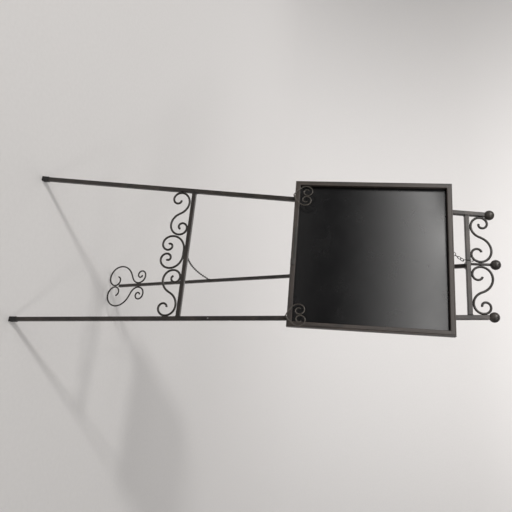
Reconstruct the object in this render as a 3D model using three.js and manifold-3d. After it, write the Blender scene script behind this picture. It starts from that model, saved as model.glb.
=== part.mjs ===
// A folding floor easel in scrolled ironwork that holds a framed writing board.
// Millimetres, +Z up, the front faces -Y. The origin is the centre of the easel's base on the floor.
// The two front legs and their crossbars lie in one plane that leans back. In that plane's own frame X is
// to the right, Z runs up the slope and Y points backwards; the board and the hooks use the same frame.
import * as THREE from "three";
import { mergeVertices } from "three/addons/utils/BufferGeometryUtils.js";
import Module from "manifold-3d";

const WELD_GAP = 0.3; // left between pieces that touch or are welded
const LEAN = THREE.MathUtils.degToRad(8); // the front frame leans back from vertical
const REACH = 5000; // longer than anything on the easel

// Front frame
const LEG = { tube: 15, wall: 1.5, corner: 1.5, length: 1664, footX: 284, headX: 177, headZ: 1680 };
const CROSSBAR = { lowerZ: 629.5, upperZ: 1602.5 };
const FOOT_CAP = { width: 18.5, height: 26, floor: 4 };
const FINIAL = { ball: 17, neck: 7.5, spigot: 5.2, spigotDepth: 12, middleZ: 1689 };
const FINIAL_ROD = { radius: 4.5, sides: 12 };
const PEG_HOLE = { radius: 2.8, spareZ: 738 };

// Scrollwork: bar radii, and the reach of each scroll from the middle of the crossbar it is welded to
const UPPER_BAR = 4;
const LOWER_BAR = 3.9;
const FOOT_BAR = 3.6;
const UPPER_SCROLL = { touchUp: 43, topUp: 75.5 };
const LOWER_SCROLL = { touchDown: 54, bottomDown: 76, innerX: 68.5 };
const CENTRE_SCROLL = { halfWidth: 61.5, bottomDown: 93 };
const FOOT_SCROLL = { halfWidth: 97, topUp: 221 };

// Rear leg and its hinge
const REAR = { tube: 12.7, wall: 1.3, corner: 1.2, hingeY: 22, footY: 585, head: 10, tubeEnd: 70 };
const REAR_CAP = { thick: 2, plug: 10 };
const BOLT = { radius: 2.4, hole: 2.7, head: 4.4, headThick: 3, nut: 4.6, nutThick: 4, tail: 2.5 };
const EAR = { thick: 2.5, gap: 0.4, round: 7, plate: 3 };

// Spreader chain: two lengths that meet part of the way along
const CHAIN = { radius: 2, sag: 26, frontEyeX: -3.5, frontEyeZ: 627, rearEyeDown: 1028, split: 0.575 };
const EYE = { wire: 1.1, loop: 4.6 };
const CHAIN_END = 2.6; // from an eye's wire to the end of the chain's solid

// Heart hooks
const HEART = { wire: 2, tipRun: 34, halfWidth: 36, height: 64, standOff: 10, tilt: 0.045, gap: 0.5 };
const PEG = { radius: 2.5, backEnd: 8 };

// Board
const BOARD = { width: 532, height: 540, depth: 24.5, bottomZ: 1012, centreX: -14 };
const RAIL = { face: 17.5, panelFront: 13, rebate: 8 };
const PANEL = { thick: 4, clearance: 1 };
const BACKING = { thick: 3 };
const TURN_BUTTON = { length: 22, width: 10, thick: 1.5 };
const EDGE_BLOCK = { width: 23, height: 14, depth: 3, x: 42 };
const FRONT_STRIP = { width: 115, height: 8, depth: 1, x: -28, z: 8.5 };

// Hanging chain between the upper crossbar and the board's back
const HANG = { wire: 1.1, links: 3, linkWidth: 10.4, fuse: 0.15, ring: 6.9, pin: 1.4, pinLength: 4.5 };
const HANG_TOP = new THREE.Vector3(-9.7, -2.3, 1588.4); // the middle of the first link's upper wire
const HANG_RING = new THREE.Vector3(-31, -5.2, 1556);
const HANG_HOOK = { x: -11, clearance: 0.2, rise: 9, drop: 9.3, bend: 6 };

const MATERIALS = {
  iron: new THREE.MeshStandardMaterial({ color: 0x4b4844, roughness: 0.45, metalness: 0.6 }),
  wire: new THREE.MeshStandardMaterial({ color: 0x4a4742, roughness: 0.4, metalness: 0.7 }),
  wood: new THREE.MeshStandardMaterial({ color: 0x5a524c, roughness: 0.5, metalness: 0 }),
  panel: new THREE.MeshStandardMaterial({ color: 0x101011, roughness: 0.15, metalness: 0 }),
  backing: new THREE.MeshStandardMaterial({ color: 0x4d3a2a, roughness: 0.9, metalness: 0 }),
  steel: new THREE.MeshStandardMaterial({ color: 0x77757a, roughness: 0.35, metalness: 0.9 }),
  cap: new THREE.MeshStandardMaterial({ color: 0x1c1b1a, roughness: 0.7, metalness: 0 }),
};

const wasm = await Module();
wasm.setup();

// ---- Solids ----

function toSolid(geometry) {
  const placed = new THREE.BufferGeometry();
  const source = geometry.index ? geometry.toNonIndexed() : geometry;
  placed.setAttribute("position", source.getAttribute("position").clone());
  const merged = mergeVertices(placed, 1e-3);
  const mesh = new wasm.Mesh({
    numProp: 3,
    vertProperties: merged.attributes.position.array,
    triVerts: new Uint32Array(merged.index.array),
  });
  return new wasm.Manifold(mesh);
}

function toGeometry(solid) {
  const mesh = solid.getMesh();
  const geometry = new THREE.BufferGeometry();
  geometry.setAttribute("position", new THREE.BufferAttribute(mesh.vertProperties, 3));
  geometry.setIndex(new THREE.BufferAttribute(mesh.triVerts, 1));
  geometry.computeVertexNormals();
  return geometry;
}

function cut(geometry, ...tools) {
  let solid = toSolid(geometry);
  for (const tool of tools) solid = solid.subtract(toSolid(tool));
  return toGeometry(solid);
}

function join(...geometries) {
  const solids = geometries.map((geometry) => toSolid(geometry));
  return toGeometry(solids.reduce((all, next) => all.add(next)));
}

function box(width, depth, height, x = 0, y = 0, z = 0) {
  return new THREE.BoxGeometry(width, depth, height).translate(x, y, z);
}

// A cylinder along a unit axis, centred on a point.
function rod(radius, length, axis, centre = new THREE.Vector3(), sides = 16) {
  const turn = new THREE.Quaternion().setFromUnitVectors(new THREE.Vector3(0, 1, 0), axis);
  const geometry = new THREE.CylinderGeometry(radius, radius, length, sides);
  return geometry.applyQuaternion(turn).translate(centre.x, centre.y, centre.z);
}

// A closed bar of round section along a curve.
function barAlong(curve, radius, steps, sides = 6) {
  const section = new THREE.Shape();
  for (let i = 0; i < sides; i++) {
    const angle = (2 * Math.PI * i) / sides;
    const x = radius * Math.cos(angle);
    const y = radius * Math.sin(angle);
    if (i === 0) section.moveTo(x, y);
    else section.lineTo(x, y);
  }
  return new THREE.ExtrudeGeometry(section, { steps, extrudePath: curve, bevelEnabled: false });
}

// A square tube with rounded corners and open ends, along Z from 0 to its length.
function squareTube({ tube, wall, corner }, length) {
  const square = (half, round) => {
    const path = new THREE.Shape();
    path.moveTo(half - round, -half);
    path.absarc(half - round, round - half, round, -Math.PI / 2, 0);
    path.absarc(half - round, half - round, round, 0, Math.PI / 2);
    path.absarc(round - half, half - round, round, Math.PI / 2, Math.PI);
    path.absarc(round - half, round - half, round, Math.PI, 1.5 * Math.PI);
    return path;
  };
  const section = square(tube / 2, corner);
  section.holes.push(square(tube / 2 - wall, corner / 3));
  return new THREE.ExtrudeGeometry(section, { depth: length, bevelEnabled: false, curveSegments: 2 });
}

function mesh(name, material, geometry) {
  const made = new THREE.Mesh(geometry, MATERIALS[material]);
  made.name = name;
  return made;
}

const AXIS_X = new THREE.Vector3(1, 0, 0);
const AXIS_Y = new THREE.Vector3(0, 1, 0);

// ---- Scrolls ----

// Points of one arm of a scroll in the XZ plane: a short straight, then a spiral whose radius shrinks
// steadily with the angle turned. A positive turn is anticlockwise.
function spiralArm({ heading, straight, from, to, turn }) {
  const steps = 40;
  const points = [new THREE.Vector2(0, 0)];
  let direction = THREE.MathUtils.degToRad(heading);
  const step = THREE.MathUtils.degToRad(turn) / steps;
  let at = new THREE.Vector2(Math.cos(direction), Math.sin(direction)).multiplyScalar(straight);
  if (straight > 0) points.push(at);
  for (let i = 0; i < steps; i++) {
    const radius = from * (to / from) ** ((i + 0.5) / steps);
    const chord = 2 * radius * Math.sin(Math.abs(step) / 2);
    const along = direction + step / 2;
    at = at.clone().add(new THREE.Vector2(Math.cos(along), Math.sin(along)).multiplyScalar(chord));
    points.push(at);
    direction += step;
  }
  return points;
}

// The points stretched to fill a box, so that the bar touches what it is welded to.
function fitted(points, { left, right, bottom, top }) {
  const bounds = new THREE.Box2().setFromPoints(points);
  const size = bounds.getSize(new THREE.Vector2());
  return points.map(
    (point) =>
      new THREE.Vector2(
        left + ((point.x - bounds.min.x) / size.x) * (right - left),
        bottom + ((point.y - bounds.min.y) / size.y) * (top - bottom),
      ),
  );
}

function flatCurve(points) {
  return new THREE.CatmullRomCurve3(points.map((point) => new THREE.Vector3(point.x, 0, point.y)));
}

// An S: one arm each way from the point where the bend changes side.
function sScroll(first, second, space, radius, steps = 52) {
  const start = spiralArm(first).reverse();
  const end = spiralArm(second).slice(1);
  return barAlong(flatCurve(fitted([...start, ...end], space)), radius, steps);
}

// A C: the same arm to both sides of the middle of its back.
function cScroll(arm, space, radius, steps = 64) {
  const right = spiralArm(arm);
  const left = right.slice(1).map((point) => new THREE.Vector2(-point.x, point.y));
  return barAlong(flatCurve(fitted([...left.reverse(), ...right], space)), radius, steps);
}

// ---- Front frame ----

const legSlope = Math.atan2(LEG.footX - LEG.headX, LEG.headZ);

function legX(z) {
  return LEG.footX - ((LEG.footX - LEG.headX) * z) / LEG.headZ;
}

// The inner face of a leg at a height, as a distance from the middle of the easel.
function legInnerX(z) {
  return legX(z) - LEG.tube / 2 / Math.cos(legSlope);
}

function legEnvelope(side) {
  const size = LEG.tube + 2 * WELD_GAP;
  const envelope = box(size, size, REACH, 0, 0, LEG.headZ / 2);
  return envelope.rotateY(-side * legSlope).translate(side * LEG.footX, 0, 0);
}

// A leg and what is on it, in the leg's own frame: Z runs up its middle from the floor.
function legGroup(side, name) {
  const group = new THREE.Group();
  group.position.x = side * LEG.footX;
  group.rotation.y = -side * legSlope;
  const holes = [BOARD.bottomZ - WELD_GAP - PEG.radius, PEG_HOLE.spareZ].map((z) =>
    rod(PEG_HOLE.radius, 2 * LEG.tube, AXIS_Y, new THREE.Vector3(0, 0, z / Math.cos(legSlope)), 12),
  );
  const start = FOOT_CAP.floor;
  const tube = squareTube(LEG, LEG.length - start).translate(0, 0, start);
  group.add(mesh(name + "_leg_tube", "iron", cut(tube, ...holes)));
  group.add(footCap(side, name));
  const finial = mesh(name + "_finial_ball", "iron", finialBall(FINIAL.spigotDepth));
  finial.position.z = LEG.headZ;
  group.add(finial);
  return group;
}

// A moulded cap over the end of a leg, cut level with the floor.
function footCap(side, name) {
  const toLeg = new THREE.Matrix4().makeRotationY(side * legSlope);
  const toSlope = new THREE.Matrix4().makeRotationX(LEAN);
  const floor = new THREE.BoxGeometry(REACH, REACH, REACH).translate(0, 0, -REACH / 2);
  floor.applyMatrix4(toSlope).applyMatrix4(toLeg);
  const outer = box(FOOT_CAP.width, FOOT_CAP.width, 2 * FOOT_CAP.height);
  const socketSize = LEG.tube + 2 * WELD_GAP;
  const socketHeight = 2 * FOOT_CAP.height;
  const socketZ = FOOT_CAP.floor - WELD_GAP + socketHeight / 2;
  const socket = box(socketSize, socketSize, socketHeight, 0, 0, socketZ);
  return mesh(name + "_foot_cap", "cap", cut(outer, floor, socket));
}

// A ball on a short neck with a spigot that goes down into the tube; its centre is the origin.
function finialBall(spigotDepth) {
  const neckAngle = Math.asin(FINIAL.neck / FINIAL.ball);
  const shoulder = 1 - FINIAL.ball;
  const profile = [new THREE.Vector2(0, shoulder - spigotDepth)];
  profile.push(new THREE.Vector2(FINIAL.spigot, shoulder - spigotDepth));
  profile.push(new THREE.Vector2(FINIAL.spigot, shoulder + WELD_GAP));
  profile.push(new THREE.Vector2(FINIAL.neck, shoulder + WELD_GAP));
  const rings = 10;
  for (let i = 0; i < rings; i++) {
    const angle = neckAngle + ((Math.PI - neckAngle) * i) / rings;
    profile.push(new THREE.Vector2(FINIAL.ball * Math.sin(angle), -FINIAL.ball * Math.cos(angle)));
  }
  profile.push(new THREE.Vector2(0, FINIAL.ball));
  return new THREE.LatheGeometry(profile, 20).rotateX(Math.PI / 2);
}

function crossbar(name, z) {
  const length = 2 * legX(z);
  const tube = squareTube(LEG, length).translate(0, 0, -length / 2).rotateY(Math.PI / 2);
  tube.translate(0, 0, z);
  return mesh(name, "iron", cut(tube, legEnvelope(-1), legEnvelope(1)));
}

function upperScroll(side, name) {
  const touchZ = CROSSBAR.upperZ + UPPER_SCROLL.touchUp;
  const space = {
    left: -(legInnerX(touchZ) - WELD_GAP - UPPER_BAR / Math.cos(legSlope)),
    right: -(FINIAL_ROD.radius + WELD_GAP + UPPER_BAR),
    bottom: CROSSBAR.upperZ + LEG.tube / 2 + WELD_GAP + UPPER_BAR,
    top: CROSSBAR.upperZ + UPPER_SCROLL.topUp,
  };
  const outer = { heading: 247, straight: 1, from: 47, to: 8.7, turn: -455 };
  const inner = { heading: 67, straight: 4, from: 58, to: 11.4, turn: -421 };
  const geometry = sScroll(outer, inner, space, UPPER_BAR);
  return mesh(name, "wire", side < 0 ? geometry : mirrored(geometry));
}

function lowerScroll(side, name) {
  const touchZ = CROSSBAR.lowerZ - LOWER_SCROLL.touchDown;
  const space = {
    left: -(legInnerX(touchZ) - WELD_GAP - LOWER_BAR / Math.cos(legSlope)),
    right: -LOWER_SCROLL.innerX,
    bottom: CROSSBAR.lowerZ - LOWER_SCROLL.bottomDown,
    top: CROSSBAR.lowerZ - LEG.tube / 2 - WELD_GAP - LOWER_BAR,
  };
  const outer = { heading: 116, straight: 1, from: 58, to: 10, turn: 434 };
  const inner = { heading: -64, straight: 1, from: 56, to: 8.5, turn: 501 };
  const geometry = sScroll(outer, inner, space, LOWER_BAR);
  return mesh(name, "wire", side < 0 ? geometry : mirrored(geometry));
}

function lowerCentreScroll() {
  const space = {
    left: -CENTRE_SCROLL.halfWidth,
    right: CENTRE_SCROLL.halfWidth,
    bottom: CROSSBAR.lowerZ - CENTRE_SCROLL.bottomDown,
    top: CROSSBAR.lowerZ - LEG.tube / 2 - WELD_GAP - LOWER_BAR,
  };
  const arm = { heading: 0, straight: 10, from: 61, to: 6.5, turn: -500 };
  return mesh("lower_centre_scroll", "wire", cScroll(arm, space, LOWER_BAR));
}

// The same shape seen from the other side.
function mirrored(geometry) {
  const flipped = geometry.index ? geometry.toNonIndexed() : geometry.clone();
  flipped.scale(-1, 1, 1);
  const position = flipped.attributes.position;
  for (let i = 0; i < position.count; i += 3) {
    const second = new THREE.Vector3().fromBufferAttribute(position, i + 1);
    const third = new THREE.Vector3().fromBufferAttribute(position, i + 2);
    position.setXYZ(i + 1, third.x, third.y, third.z);
    position.setXYZ(i + 2, second.x, second.y, second.z);
  }
  return flipped;
}

function centreFinial() {
  const bottom = CROSSBAR.upperZ + LEG.tube / 2 + WELD_GAP;
  const top = FINIAL.middleZ - FINIAL.ball + 1;
  const centre = new THREE.Vector3(0, 0, (bottom + top) / 2);
  const post = rod(FINIAL_ROD.radius, top - bottom, new THREE.Vector3(0, 0, 1), centre, FINIAL_ROD.sides);
  const flat = box(REACH, REACH, REACH, 0, 0, 1 + WELD_GAP - FINIAL.ball - REACH / 2);
  const sphere = new THREE.SphereGeometry(FINIAL.ball, 20, 12);
  const ball = mesh("centre_finial_ball", "iron", cut(sphere, flat));
  ball.position.z = FINIAL.middleZ;
  return [mesh("centre_finial_rod", "wire", post), ball];
}

// A clevis welded to the back of the upper crossbar.
function hingeBracket() {
  const faceY = LEG.tube / 2 + WELD_GAP;
  const earX = REAR.tube / 2 + EAR.gap + EAR.thick / 2;
  const width = 2 * earX + EAR.thick;
  const plate = box(width, EAR.plate, 2 * EAR.round, 0, faceY + EAR.plate / 2, 0);
  const pieces = [plate];
  for (const side of [-1, 1]) {
    const depth = REAR.hingeY - faceY;
    pieces.push(box(EAR.thick, depth, 2 * EAR.round, side * earX, faceY + depth / 2, 0));
    pieces.push(rod(EAR.round, EAR.thick, AXIS_X, new THREE.Vector3(side * earX, REAR.hingeY, 0), 20));
  }
  const hole = rod(BOLT.hole, REACH, AXIS_X, new THREE.Vector3(0, REAR.hingeY, 0), 16);
  const bracket = mesh("hinge_bracket", "iron", cut(join(...pieces), hole));
  bracket.position.z = CROSSBAR.upperZ;
  return bracket;
}

function hingeBolt() {
  const inside = REAR.tube / 2 + EAR.gap + EAR.thick;
  const shankEnd = inside + BOLT.nutThick + BOLT.tail;
  const shankCentre = new THREE.Vector3((shankEnd - inside) / 2, 0, 0);
  const shank = rod(BOLT.radius, shankEnd + inside, AXIS_X, shankCentre);
  const headX = -inside - WELD_GAP - BOLT.headThick / 2;
  const head = rod(BOLT.head, BOLT.headThick, AXIS_X, new THREE.Vector3(headX, 0, 0), 16);
  const under = rod(BOLT.radius, 2, AXIS_X, new THREE.Vector3(-inside, 0, 0));
  const bolt = mesh("hinge_bolt", "steel", join(shank, under, head));
  const nutX = inside + WELD_GAP + BOLT.nutThick / 2;
  const nutBody = rod(BOLT.nut, BOLT.nutThick, AXIS_X, new THREE.Vector3(nutX, 0, 0), 6);
  const nut = mesh("hinge_nut", "steel", cut(nutBody, rod(BOLT.hole, REACH, AXIS_X)));
  for (const piece of [bolt, nut]) piece.position.set(0, REAR.hingeY, CROSSBAR.upperZ);
  return [bolt, nut];
}

// A half loop of wire standing out of a face towards +Y, in the XY plane.
function chainEye(name) {
  const points = [];
  for (let i = 0; i <= 8; i++) {
    const angle = (Math.PI * i) / 8;
    points.push(new THREE.Vector3(EYE.loop * Math.cos(angle), EYE.loop * Math.sin(angle), 0));
  }
  return mesh(name, "wire", barAlong(new THREE.CatmullRomCurve3(points), EYE.wire, 12));
}

function frontFrame() {
  const frame = new THREE.Group();
  frame.rotation.x = -LEAN;
  frame.add(legGroup(-1, "left"), legGroup(1, "right"));
  frame.add(crossbar("lower_crossbar", CROSSBAR.lowerZ));
  frame.add(crossbar("upper_crossbar", CROSSBAR.upperZ));
  frame.add(upperScroll(-1, "upper_left_scroll"), upperScroll(1, "upper_right_scroll"));
  frame.add(lowerScroll(-1, "lower_left_scroll"), lowerScroll(1, "lower_right_scroll"));
  frame.add(lowerCentreScroll(), ...centreFinial());
  frame.add(hingeBracket(), ...hingeBolt());
  const eye = chainEye("crossbar_chain_eye");
  eye.position.set(CHAIN.frontEyeX, LEG.tube / 2 + WELD_GAP, CHAIN.frontEyeZ);
  frame.add(eye, hangingHook(), hangingChain());
  return frame;
}

// ---- Hanging chain ----

// A bent wire hung over the upper crossbar; the chain hangs in its lower bend.
function hangingHook() {
  const clear = LEG.tube / 2 + WELD_GAP + HANG.wire + HANG_HOOK.clearance;
  const barTop = CROSSBAR.upperZ + LEG.tube / 2;
  const barBottom = CROSSBAR.upperZ - LEG.tube / 2;
  const { bend, rise, drop } = HANG_HOOK;
  const route = [
    [clear, barTop - bend],
    [clear, barTop + 2],
    [clear * 0.6, barTop + rise],
    [-clear * 0.6, barTop + rise],
    [-clear, barTop + 2],
    [-clear, barBottom],
    [-clear * 0.8, barBottom - bend],
    [-clear * 0.25, barBottom - drop],
    [clear * 0.3, barBottom - bend],
  ];
  const points = route.map(([y, z]) => new THREE.Vector3(HANG_HOOK.x, y, z));
  const curve = new THREE.CatmullRomCurve3(points, false, "centripetal");
  return mesh("hanging_hook", "wire", barAlong(curve, HANG.wire, 32));
}

// One oval link, centred on the origin, long along Z.
function chainLink(length, width, wire) {
  const loop = new THREE.TorusGeometry(width / 2 - wire, wire, 6, 14);
  loop.rotateX(Math.PI / 2);
  return loop.scale(1, 1, (length - 2 * wire) / (width - 2 * wire));
}

// Links from the hook down to a ring that is caught on the pin at the board's back. Each link rests on
// the next one, and they are fused there.
function hangingChain() {
  const down = new THREE.Vector3().subVectors(HANG_RING, HANG_TOP);
  const pitch = (down.length() - HANG.ring) / HANG.links;
  const length = pitch + 4 * HANG.wire - HANG.fuse;
  const direction = down.clone().normalize();
  const turn = new THREE.Quaternion().setFromUnitVectors(new THREE.Vector3(0, 0, -1), direction);
  const pieces = [];
  for (let i = 0; i < HANG.links; i++) {
    const link = chainLink(length, HANG.linkWidth, HANG.wire);
    link.rotateZ((i * Math.PI) / 3).applyQuaternion(turn);
    const at = HANG_TOP.clone().addScaledVector(direction, length / 2 - HANG.wire + pitch * i);
    pieces.push(link.translate(at.x, at.y, at.z));
  }
  const ring = new THREE.TorusGeometry(HANG.ring, HANG.wire, 6, 20).rotateX(Math.PI / 2);
  pieces.push(ring.translate(HANG_RING.x, HANG_RING.y, HANG_RING.z));
  return mesh("hanging_chain", "wire", join(...pieces));
}

// ---- Rear leg ----

const hingePoint = new THREE.Vector3(0, REAR.hingeY, CROSSBAR.upperZ).applyAxisAngle(AXIS_X, -LEAN);
const rearSlope = Math.atan2(REAR.footY - hingePoint.y, hingePoint.z);
const rearLength = hingePoint.z / Math.cos(rearSlope);

// The rear leg in its own frame: the hinge is the origin, and the leg hangs down -Z.
function rearLeg() {
  const group = new THREE.Group();
  group.position.copy(hingePoint);
  group.rotation.x = rearSlope;
  const length = rearLength + REAR.head - REAR.tubeEnd;
  const tube = squareTube(REAR, length).translate(0, 0, REAR.head - length);
  const hole = rod(BOLT.hole, 2 * REAR.tube, AXIS_X);
  group.add(mesh("rear_leg_tube", "iron", cut(tube, hole)));
  group.add(rearEndCap(REAR.head - length));
  group.add(footScroll(-1, "rear_foot_left_scroll"), footScroll(1, "rear_foot_right_scroll"));
  const eye = chainEye("rear_leg_chain_eye");
  eye.rotation.z = Math.PI;
  eye.position.set(0, -REAR.tube / 2 - WELD_GAP, -CHAIN.rearEyeDown);
  group.add(eye);
  return group;
}

function rearEndCap(endZ) {
  const inside = REAR.tube - 2 * REAR.wall - 2 * WELD_GAP;
  const headTop = endZ - WELD_GAP;
  const head = box(REAR.tube, REAR.tube, REAR_CAP.thick, 0, 0, headTop - REAR_CAP.thick / 2);
  const plug = box(inside, inside, REAR_CAP.plug, 0, 0, headTop - REAR_CAP.thick / 2 + REAR_CAP.plug / 2);
  return mesh("rear_end_cap", "cap", join(head, plug));
}

function footScroll(side, name) {
  const floor = FOOT_BAR / Math.cos(rearSlope);
  const space = {
    left: -FOOT_SCROLL.halfWidth,
    right: -(FOOT_BAR + WELD_GAP / 2),
    bottom: floor - rearLength,
    top: FOOT_SCROLL.topUp - rearLength,
  };
  const small = { heading: 26, straight: 2, from: 50, to: 8.5, turn: 520 };
  const large = { heading: 206, straight: 16, from: 95, to: 15, turn: 420 };
  const geometry = sScroll(small, large, space, FOOT_BAR, 60);
  return mesh(name, "wire", side < 0 ? geometry : mirrored(geometry));
}

// ---- Spreader chain ----

function spreaderEnds() {
  const frontY = LEG.tube / 2 + WELD_GAP + EYE.loop;
  const front = new THREE.Vector3(0, frontY, CHAIN.frontEyeZ).applyAxisAngle(AXIS_X, -LEAN);
  const rearY = -(REAR.tube / 2 + WELD_GAP + EYE.loop);
  const rear = new THREE.Vector3(0, rearY, -CHAIN.rearEyeDown).applyAxisAngle(AXIS_X, rearSlope);
  return [front, rear.add(hingePoint)];
}

// One length of the chain's slack curve, as a plain bar of the chain's mean width.
function spreaderLength(name, x, from, to) {
  const [front, rear] = spreaderEnds();
  const span = rear.distanceTo(front);
  const start = from === 0 ? CHAIN_END / span : from + WELD_GAP / span;
  const end = to === 1 ? 1 - CHAIN_END / span : to - WELD_GAP / span;
  const steps = 10;
  const points = [];
  for (let i = 0; i <= steps; i++) {
    const share = start + ((end - start) * i) / steps;
    const point = new THREE.Vector3().lerpVectors(front, rear, share);
    point.x = x;
    point.z -= 4 * CHAIN.sag * share * (1 - share);
    points.push(point);
  }
  return mesh(name, "wire", barAlong(new THREE.CatmullRomCurve3(points), CHAIN.radius, 2 * steps));
}

// ---- Heart hooks ----

// Half of a heart in the XZ plane: from the tip up and round the lobe to the curl inside it.
function heartHalf() {
  const arm = { heading: 36, straight: HEART.tipRun, from: 25, to: 7.5, turn: 470 };
  const points = spiralArm(arm);
  const space = { left: HEART.wire + HEART.gap / 2, right: HEART.halfWidth, bottom: 0, top: HEART.height };
  const bounds = new THREE.Box2().setFromPoints(points.slice(2));
  const lift = (space.top - space.bottom) / bounds.max.y;
  return points.map((point, index) => {
    const share = Math.min(1, index / 6);
    const innermost = THREE.MathUtils.lerp(0, space.left, share);
    const across = (point.x - bounds.min.x * share) / (bounds.max.x - bounds.min.x * share);
    return new THREE.Vector2(innermost + across * (space.right - innermost), point.y * lift);
  });
}

function heartWire() {
  const right = heartHalf();
  const left = right.slice(1).map((point) => new THREE.Vector2(-point.x, point.y));
  return barAlong(flatCurve([...left.reverse(), ...right]), HEART.wire, 84);
}

// A hook: a wire heart on the end of a peg that goes through the leg.
function hook(side, name) {
  const z = BOARD.bottomZ - WELD_GAP - PEG.radius;
  const boardFront = LEG.tube / 2 + WELD_GAP + BOARD.depth;
  const heartY = -(boardFront + HEART.standOff + HEART.wire);
  const group = new THREE.Group();
  group.position.set(side * legX(z), 0, z);
  const pegFront = heartY + HEART.wire + WELD_GAP;
  const length = PEG.backEnd - pegFront;
  const peg = rod(PEG.radius, length, AXIS_Y, new THREE.Vector3(0, (PEG.backEnd + pegFront) / 2, 0), 12);
  const heart = mesh(name + "_hook_heart", "wire", heartWire());
  heart.position.set(0, heartY, 0);
  heart.rotation.y = -side * (legSlope + HEART.tilt);
  group.add(mesh(name + "_hook_peg", "wire", peg), heart);
  return group;
}

// ---- Board ----

// A rail with a rebate behind its inner lip, lying along X with its outer edge down at Z = 0, mitred at
// both ends. Its front face is at Y = 0 and its back at the board's depth.
function rail(length) {
  const section = new THREE.Shape();
  const rebateDepth = BOARD.depth - RAIL.panelFront;
  section.moveTo(0, 0);
  section.lineTo(RAIL.rebate, 0);
  section.lineTo(RAIL.rebate, rebateDepth);
  section.lineTo(RAIL.face, rebateDepth);
  section.lineTo(RAIL.face, BOARD.depth);
  section.lineTo(0, BOARD.depth);
  section.closePath();
  const bar = new THREE.ExtrudeGeometry(section, { depth: length, bevelEnabled: false });
  bar.translate(0, 0, -length / 2).rotateY(Math.PI / 2).rotateX(Math.PI).translate(0, BOARD.depth, 0);
  const mitres = [-1, 1].map((side) => {
    const wedge = new THREE.BoxGeometry(REACH, REACH, REACH).translate((side * REACH) / 2, 0, 0);
    wedge.rotateY((-side * Math.PI) / 4);
    return wedge.translate(side * (length / 2 - WELD_GAP), 0, 0);
  });
  return cut(bar, ...mitres);
}

function placedRail(name, length, turn, x, z) {
  const made = mesh(name, "wood", rail(length));
  made.rotation.y = turn;
  made.position.set(x, 0, z);
  return made;
}

function boardRails() {
  const half = BOARD.width / 2;
  const middle = BOARD.height / 2;
  return [
    placedRail("board_bottom_rail", BOARD.width, 0, 0, 0),
    placedRail("board_top_rail", BOARD.width, Math.PI, 0, BOARD.height),
    placedRail("board_left_rail", BOARD.height, Math.PI / 2, -half, middle),
    placedRail("board_right_rail", BOARD.height, -Math.PI / 2, half, middle),
  ];
}

function boardSheet(name, material, thick, frontY) {
  const inset = 2 * (RAIL.rebate + PANEL.clearance);
  const sheet = box(BOARD.width - inset, thick, BOARD.height - inset);
  return mesh(name, material, sheet.translate(0, frontY + thick / 2, BOARD.height / 2));
}

// A flat metal button that holds the backing in, tucked against a rail.
function turnButton(name, x, z, turn) {
  const backingBack = RAIL.panelFront + WELD_GAP + PANEL.thick + WELD_GAP + BACKING.thick;
  const y = backingBack + WELD_GAP + TURN_BUTTON.thick / 2;
  const plate = mesh(name, "steel", box(TURN_BUTTON.width, TURN_BUTTON.thick, TURN_BUTTON.length));
  plate.position.set(x, y, z);
  plate.rotation.y = turn;
  return plate;
}

function turnButtons() {
  const half = BOARD.width / 2;
  const reach = RAIL.rebate + WELD_GAP + TURN_BUTTON.length / 2;
  return [
    turnButton("turn_button_bottom", 0, reach, 0),
    turnButton("turn_button_top", 0, BOARD.height - reach, 0),
    turnButton("turn_button_left", reach - half, BOARD.height / 2, Math.PI / 2),
    turnButton("turn_button_right", half - reach, BOARD.height / 2, Math.PI / 2),
  ];
}

// The pin that holds the ring of the hanging chain, at the back of the top rail.
function hangingPin() {
  const down = new THREE.Vector3().subVectors(HANG_RING, HANG_TOP).setY(0).normalize();
  const at = HANG_RING.clone().addScaledVector(down, HANG.ring - HANG.wire - WELD_GAP - HANG.pin);
  const pin = rod(HANG.pin, HANG.pinLength, AXIS_Y, new THREE.Vector3(), 10);
  const made = mesh("board_hanging_pin", "steel", pin);
  const y = BOARD.depth + WELD_GAP + HANG.pinLength / 2;
  made.position.set(at.x - BOARD.centreX, y, at.z - BOARD.bottomZ);
  return made;
}

// A small flat piece on the front of the bottom rail.
function railFitting(name, material, { width, height, depth, x }, z) {
  const piece = mesh(name, material, box(width, depth, height));
  piece.position.set(x, -depth / 2 - WELD_GAP, z + height / 2);
  return piece;
}

function board() {
  const group = new THREE.Group();
  const frontY = -(LEG.tube / 2 + WELD_GAP + BOARD.depth);
  group.position.set(BOARD.centreX, frontY, BOARD.bottomZ);
  const panelY = RAIL.panelFront + WELD_GAP;
  group.add(...boardRails());
  group.add(boardSheet("board_panel", "panel", PANEL.thick, panelY));
  group.add(boardSheet("board_backing", "backing", BACKING.thick, panelY + PANEL.thick + WELD_GAP));
  group.add(...turnButtons(), hangingPin());
  group.add(railFitting("board_edge_block", "wood", EDGE_BLOCK, 0));
  group.add(railFitting("board_front_strip", "iron", FRONT_STRIP, FRONT_STRIP.z));
  return group;
}

// ---- Assembly ----

const easel = new THREE.Group();
easel.name = "display_easel";

const sloped = new THREE.Group();
sloped.rotation.x = -LEAN;
sloped.add(hook(-1, "left"), hook(1, "right"), board());
const rearChainX = CHAIN.frontEyeX + 2 * CHAIN.radius + 2 * WELD_GAP;
easel.add(frontFrame(), rearLeg(), sloped);
easel.add(spreaderLength("front_chain_length", CHAIN.frontEyeX, 0, CHAIN.split));
easel.add(spreaderLength("rear_chain_length", rearChainX, CHAIN.split, 1));

easel.updateMatrixWorld(true);
const extent = new THREE.Box3().setFromObject(easel, true);
const middle = extent.getCenter(new THREE.Vector3());
easel.position.set(-middle.x, -middle.y, -extent.min.z);

export default easel;
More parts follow.
